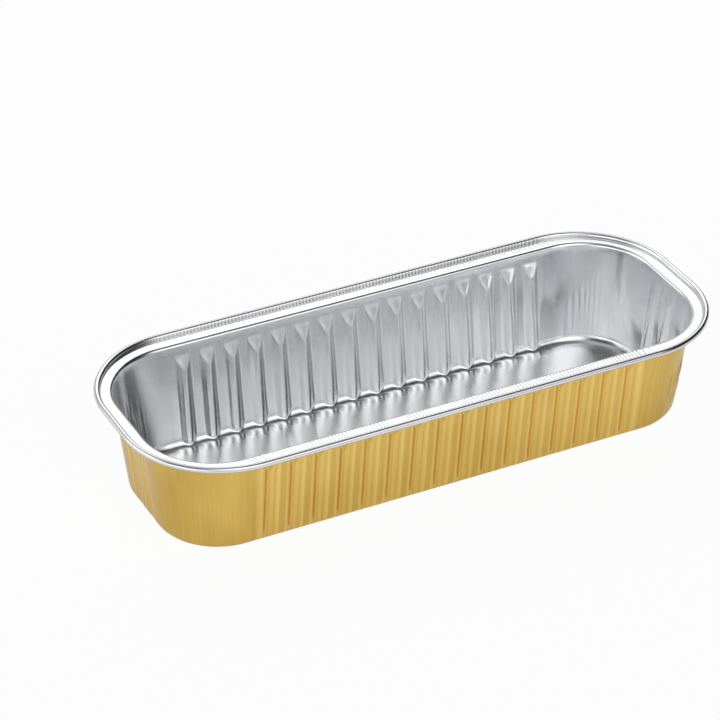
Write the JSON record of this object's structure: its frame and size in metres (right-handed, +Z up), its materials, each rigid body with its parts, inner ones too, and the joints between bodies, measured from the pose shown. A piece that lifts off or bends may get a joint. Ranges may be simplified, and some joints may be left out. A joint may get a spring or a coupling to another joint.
{
  "type": "foil loaf tray",
  "caption": "Long rounded loaf tray pressed from foil, with fluted walls, a flat flange and a curled rim, bare silver inside and gold-lacquered outside, for baking and serving.",
  "frame": {"origin": "middle of the tray's footprint, on the surface that it stands on", "axes": "+X along the tray's length, +Y across it towards the back wall, +Z up out of its mouth"},
  "size_m": [0.2, 0.081, 0.0368],
  "materials": {
    "bare_foil": "bright rolled foil",
    "gold_lacquer": "satin gold lacquer over foil"
  },
  "bodies": {
    "root": {"foil_pan": "bare_foil", "gold_lacquer": "gold_lacquer"}
  },
  "joints": []
}
